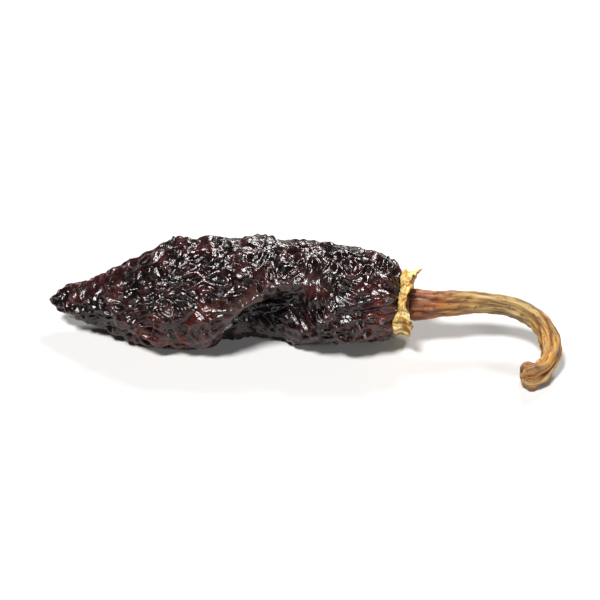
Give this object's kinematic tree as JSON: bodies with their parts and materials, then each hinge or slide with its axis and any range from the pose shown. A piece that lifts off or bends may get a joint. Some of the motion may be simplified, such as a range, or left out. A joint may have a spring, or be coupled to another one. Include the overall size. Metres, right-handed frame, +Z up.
{
  "type": "dried chilli pepper",
  "caption": "Dried chilli pepper lying on its side: a wrinkled, part-collapsed dark pod with a ragged calyx and a hooked stem.",
  "frame": {"origin": "on the surface that the pepper lies on, under the middle of its box", "axes": "+X along the pepper, from the pod's tip towards the stem; +Z up; -Y is the side with the deep hollow, which the stem hooks towards"},
  "size_m": [0.0804, 0.028, 0.0138],
  "materials": {
    "pod_skin": "semi-gloss, finely wrinkled, near black with dark red patches",
    "calyx_tissue": "dry and papery, golden tan, brown at the edges",
    "stem_bark": "dry, ridged lengthwise, ochre with a brown root and end"
  },
  "bodies": {
    "root": {"pod": "pod_skin", "calyx": "calyx_tissue", "stem": "stem_bark"}
  },
  "joints": []
}
